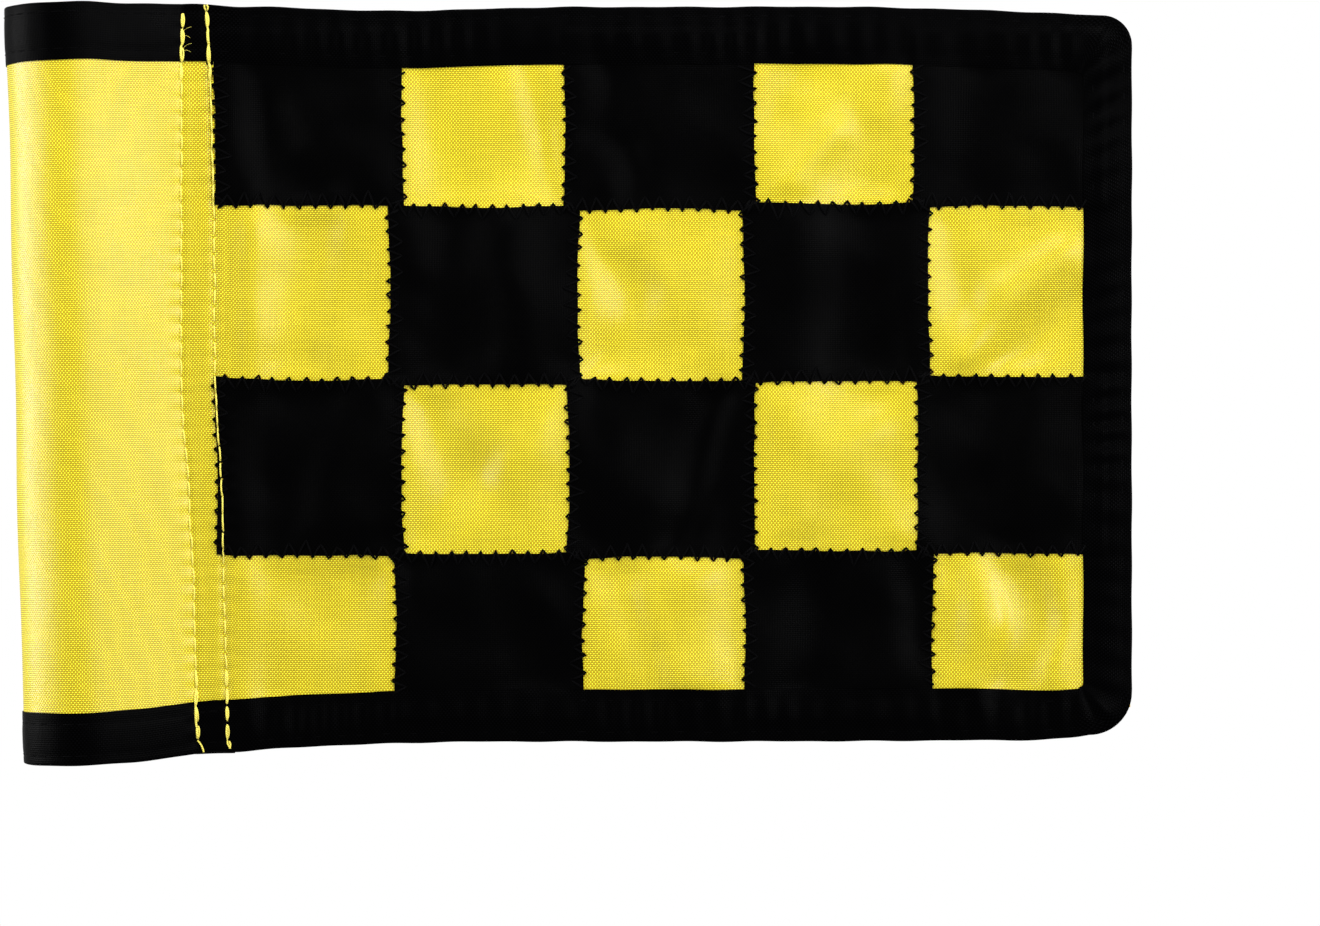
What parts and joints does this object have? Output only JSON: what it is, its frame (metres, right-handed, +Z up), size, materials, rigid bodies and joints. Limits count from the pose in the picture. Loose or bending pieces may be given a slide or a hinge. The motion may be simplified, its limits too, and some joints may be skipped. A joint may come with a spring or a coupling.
{
  "type": "golf practice green flag",
  "caption": "Small chequered golf pin flag with bound edges and a sewn sleeve on a plastic tube insert, which turns on the flagstick.",
  "frame": {"origin": "on the axis of the tube insert, at its lower end, where a collar on the flagstick carries it", "axes": "+Z up the sleeve and the stick, +X out to the fly edge, and the front of the flag faces -Y"},
  "size_m": [0.2245, 0.0258, 0.1512],
  "materials": {
    "yellow_nylon": "plain-weave nylon, slight sheen",
    "black_nylon": "plain-weave nylon, slight sheen",
    "black_tape": "woven binding tape, matt",
    "yellow_thread": "polyester sewing thread",
    "black_thread": "polyester sewing thread",
    "insert_plastic": "extruded plastic, satin"
  },
  "bodies": {
    "insert": {"tube_insert": "insert_plastic"},
    "sleeve": {"sleeve_cloth": "yellow_nylon", "sleeve_binding_top": "black_tape", "sleeve_binding_bottom": "black_tape", "sleeve_row_top_outer": "black_thread", "sleeve_row_top_inner": "black_thread", "sleeve_row_bottom_outer": "black_thread", "sleeve_row_bottom_inner": "black_thread", "seam_thread_inner": "yellow_thread", "seam_thread_outer": "yellow_thread"},
    "fly": {"fly_cloth": "yellow_nylon", "fly_binding": "black_tape", "fly_row_outer": "black_thread", "fly_row_inner": "black_thread", "black_square_r1c1": "black_nylon", "black_square_r1c3": "black_nylon", "black_square_r1c5": "black_nylon", "black_square_r2c2": "black_nylon", "black_square_r2c4": "black_nylon", "black_square_r3c1": "black_nylon", "black_square_r3c3": "black_nylon", "black_square_r3c5": "black_nylon", "black_square_r4c2": "black_nylon", "black_square_r4c4": "black_nylon", "zigzag_r1c1": "black_thread", "zigzag_r1c3": "black_thread", "zigzag_r1c5": "black_thread", "zigzag_r2c2": "black_thread", "zigzag_r2c4": "black_thread", "zigzag_r3c1": "black_thread", "zigzag_r3c3": "black_thread", "zigzag_r3c5": "black_thread", "zigzag_r4c2": "black_thread", "zigzag_r4c4": "black_thread"}
  },
  "joints": [
    {"name": "flag_swivel", "type": "hinge", "parent": "insert", "child": "sleeve", "pos_m": [0, 0, 0], "axis": [0, 0, 1], "continuous": true},
    {"name": "fly_bend", "type": "hinge", "parent": "sleeve", "child": "fly", "pos_m": [0.031, 0, 0.0721], "axis": [0, 0, 1], "range_deg": [-120, 120], "stiffness_Nm_per_rad": 0.002}
  ]
}
